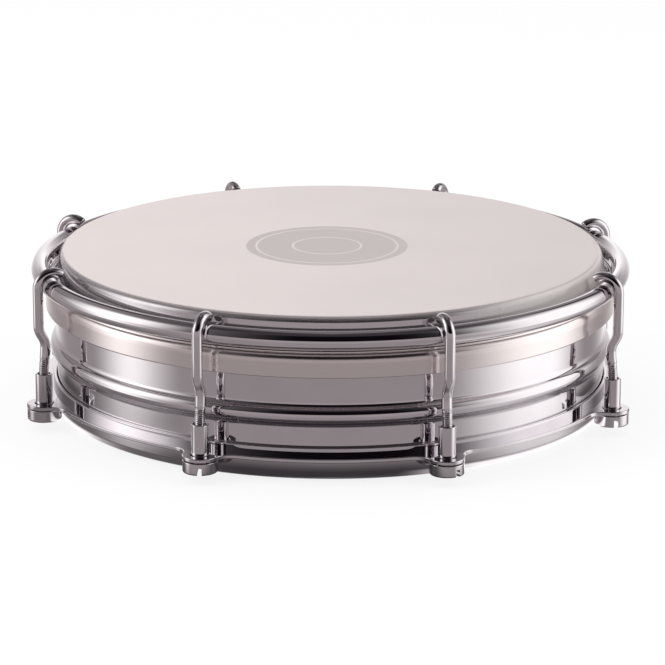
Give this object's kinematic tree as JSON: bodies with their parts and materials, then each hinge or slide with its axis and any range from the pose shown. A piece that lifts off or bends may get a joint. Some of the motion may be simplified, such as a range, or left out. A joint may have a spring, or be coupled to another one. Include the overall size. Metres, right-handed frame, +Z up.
{
  "type": "tamborim drum",
  "caption": "Shallow round hand drum with a chromed steel shell, a white head under a counter hoop, and claw hooks drawn down by slotted barrel nuts.",
  "frame": {"origin": "centre of the flat bottom face of the lug ring, which the drum rests on", "axes": "+Z up through the head along the drum's axis, lugs at 22.5 degrees and every 45 from there"},
  "size_m": [0.1658, 0.1658, 0.0444],
  "materials": {
    "shell_chrome": "polished chrome plate",
    "hoop_chrome": "polished chrome plate",
    "ring_chrome": "polished chrome plate",
    "hook_chrome": "polished chrome plate, threaded below",
    "nut_chrome": "polished chrome plate on turned steel",
    "hoop_aluminium": "satin rolled aluminium",
    "coated_film": "satin coated film"
  },
  "bodies": {
    "drum": {"shell": "shell_chrome", "head_film": "coated_film", "flesh_hoop": "hoop_aluminium", "counter_hoop": "hoop_chrome", "lug_ring": "ring_chrome"},
    "nut_1": {"tuning_nut_1": "nut_chrome"},
    "hook_1": {"tension_hook_1": "hook_chrome"},
    "nut_2": {"tuning_nut_2": "nut_chrome"},
    "hook_2": {"tension_hook_2": "hook_chrome"},
    "nut_3": {"tuning_nut_3": "nut_chrome"},
    "hook_3": {"tension_hook_3": "hook_chrome"},
    "nut_4": {"tuning_nut_4": "nut_chrome"},
    "hook_4": {"tension_hook_4": "hook_chrome"},
    "nut_5": {"tuning_nut_5": "nut_chrome"},
    "hook_5": {"tension_hook_5": "hook_chrome"},
    "nut_6": {"tuning_nut_6": "nut_chrome"},
    "hook_6": {"tension_hook_6": "hook_chrome"},
    "nut_7": {"tuning_nut_7": "nut_chrome"},
    "hook_7": {"tension_hook_7": "hook_chrome"},
    "nut_8": {"tuning_nut_8": "nut_chrome"},
    "hook_8": {"tension_hook_8": "hook_chrome"}
  },
  "joints": [
    {"name": "nut_1_turn", "type": "hinge", "parent": "drum", "child": "nut_1", "pos_m": [0.07696, 0.03188, 0.0055], "axis": [0, 0, -1], "range_deg": [0, 2160]},
    {"name": "hook_1_lift", "type": "slide", "parent": "drum", "child": "hook_1", "axis": [0, 0, 1], "range_m": [0, 0.003]},
    {"name": "nut_2_turn", "type": "hinge", "parent": "drum", "child": "nut_2", "pos_m": [0.03188, 0.07696, 0.0055], "axis": [0, 0, -1], "range_deg": [0, 2160]},
    {"name": "hook_2_lift", "type": "slide", "parent": "drum", "child": "hook_2", "axis": [0, 0, 1], "range_m": [0, 0.003]},
    {"name": "nut_3_turn", "type": "hinge", "parent": "drum", "child": "nut_3", "pos_m": [-0.03188, 0.07696, 0.0055], "axis": [0, 0, -1], "range_deg": [0, 2160]},
    {"name": "hook_3_lift", "type": "slide", "parent": "drum", "child": "hook_3", "axis": [0, 0, 1], "range_m": [0, 0.003]},
    {"name": "nut_4_turn", "type": "hinge", "parent": "drum", "child": "nut_4", "pos_m": [-0.07696, 0.03188, 0.0055], "axis": [0, 0, -1], "range_deg": [0, 2160]},
    {"name": "hook_4_lift", "type": "slide", "parent": "drum", "child": "hook_4", "axis": [0, 0, 1], "range_m": [0, 0.003]},
    {"name": "nut_5_turn", "type": "hinge", "parent": "drum", "child": "nut_5", "pos_m": [-0.07696, -0.03188, 0.0055], "axis": [0, 0, -1], "range_deg": [0, 2160]},
    {"name": "hook_5_lift", "type": "slide", "parent": "drum", "child": "hook_5", "axis": [0, 0, 1], "range_m": [0, 0.003]},
    {"name": "nut_6_turn", "type": "hinge", "parent": "drum", "child": "nut_6", "pos_m": [-0.03188, -0.07696, 0.0055], "axis": [0, 0, -1], "range_deg": [0, 2160]},
    {"name": "hook_6_lift", "type": "slide", "parent": "drum", "child": "hook_6", "axis": [0, 0, 1], "range_m": [0, 0.003]},
    {"name": "nut_7_turn", "type": "hinge", "parent": "drum", "child": "nut_7", "pos_m": [0.03188, -0.07696, 0.0055], "axis": [0, 0, -1], "range_deg": [0, 2160]},
    {"name": "hook_7_lift", "type": "slide", "parent": "drum", "child": "hook_7", "axis": [0, 0, 1], "range_m": [0, 0.003]},
    {"name": "nut_8_turn", "type": "hinge", "parent": "drum", "child": "nut_8", "pos_m": [0.07696, -0.03188, 0.0055], "axis": [0, 0, -1], "range_deg": [0, 2160]},
    {"name": "hook_8_lift", "type": "slide", "parent": "drum", "child": "hook_8", "axis": [0, 0, 1], "range_m": [0, 0.003]}
  ],
  "couplings": [
    {"joint": "nut_1_turn", "follows": "hook_1_lift", "rad_per_m": 12566},
    {"joint": "nut_2_turn", "follows": "hook_2_lift", "rad_per_m": 12566},
    {"joint": "nut_3_turn", "follows": "hook_3_lift", "rad_per_m": 12566},
    {"joint": "nut_4_turn", "follows": "hook_4_lift", "rad_per_m": 12566},
    {"joint": "nut_5_turn", "follows": "hook_5_lift", "rad_per_m": 12566},
    {"joint": "nut_6_turn", "follows": "hook_6_lift", "rad_per_m": 12566},
    {"joint": "nut_7_turn", "follows": "hook_7_lift", "rad_per_m": 12566},
    {"joint": "nut_8_turn", "follows": "hook_8_lift", "rad_per_m": 12566}
  ]
}
